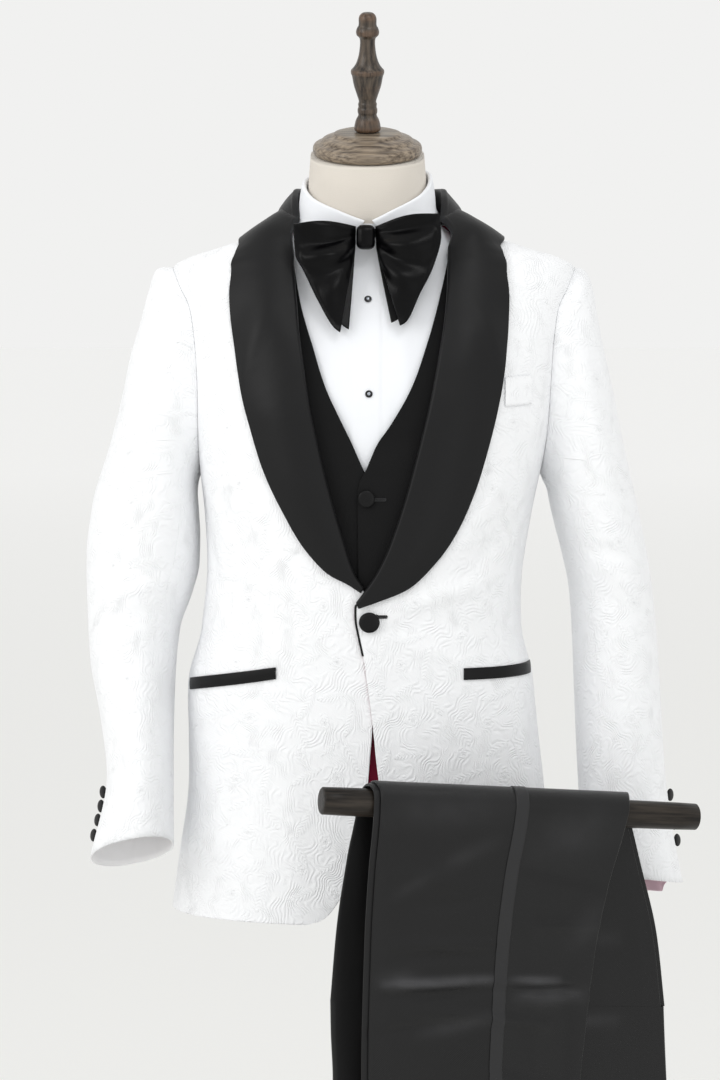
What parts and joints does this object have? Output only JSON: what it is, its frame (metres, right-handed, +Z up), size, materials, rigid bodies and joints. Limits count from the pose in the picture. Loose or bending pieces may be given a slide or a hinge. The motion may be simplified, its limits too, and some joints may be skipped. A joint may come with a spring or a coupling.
{
  "type": "tuxedo on a limbless dress form with a trouser bar",
  "caption": "White jacquard tuxedo jacket, waistcoat, dress shirt and velvet bow tie on a limbless dress form, its black trousers folded over a bar in front.",
  "frame": {"origin": "centre of the base's underside, on the floor under the pole", "axes": "+Z up; -Y towards the front of the garment; +X to the wearer's left, the viewer's right"},
  "size_m": [0.6554, 0.4659, 1.7498],
  "materials": {
    "jacquard": "white floral jacquard with a faint raised pattern",
    "satin": "black satin with a soft broad sheen",
    "waistcoat_cloth": "black fine worsted with a slight sheen",
    "shirt_cotton": "smooth white cotton",
    "velvet": "black velvet with bright edges",
    "trouser_wool": "black wool and satin-back cloth, pressed",
    "linen": "cream linen stretched over the form",
    "dark_wood": "dark turned wood, rubbed at its edges",
    "black_metal": "black painted steel",
    "stud": "polished black dress stud"
  },
  "bodies": {
    "root": {"form_torso": "linen", "neck_cap": "dark_wood", "finial": "dark_wood", "base": "dark_wood", "pole": "black_metal", "bar": "dark_wood", "bar_post": "black_metal", "bar_arm": "black_metal", "pole_clamp": "black_metal", "shirt_front": "shirt_cotton", "shirt_back": "shirt_cotton", "waistcoat_back": "satin", "tie_band": "velvet", "tie_knot": "velvet", "shirt_collar_left": "shirt_cotton", "waistcoat_front_left": "waistcoat_cloth", "tie_wing_left": "velvet", "tie_wing_left_back": "velvet", "jacket_front_left": "jacquard", "jacket_back_left": "jacquard", "shawl_collar_left": "satin", "top_sleeve_left": "jacquard", "under_sleeve_left": "jacquard", "cuff_button_left_1": "satin", "cuff_button_left_2": "satin", "cuff_button_left_3": "satin", "cuff_button_left_4": "satin", "shirt_collar_right": "shirt_cotton", "waistcoat_front_right": "waistcoat_cloth", "tie_wing_right": "velvet", "tie_wing_right_back": "velvet", "jacket_front_right": "jacquard", "jacket_back_right": "jacquard", "shawl_collar_right": "satin", "top_sleeve_right": "jacquard", "under_sleeve_right": "jacquard", "cuff_button_right_1": "satin", "cuff_button_right_2": "satin", "cuff_button_right_3": "satin", "cuff_button_right_4": "satin", "hip_welt_left": "satin", "hip_welt_right": "satin", "breast_welt": "jacquard", "front_button": "satin", "waistcoat_button": "satin", "stud_upper": "stud", "stud_lower": "stud", "trouser_leg_left_front": "trouser_wool", "trouser_leg_right_front": "trouser_wool", "trouser_seat_front": "trouser_wool", "waistband_front": "satin", "trouser_leg_left_back": "trouser_wool", "trouser_leg_right_back": "trouser_wool", "trouser_seat_back": "trouser_wool", "waistband_back": "satin", "trouser_stripe_left": "satin", "trouser_stripe_right": "satin"}
  },
  "joints": []
}
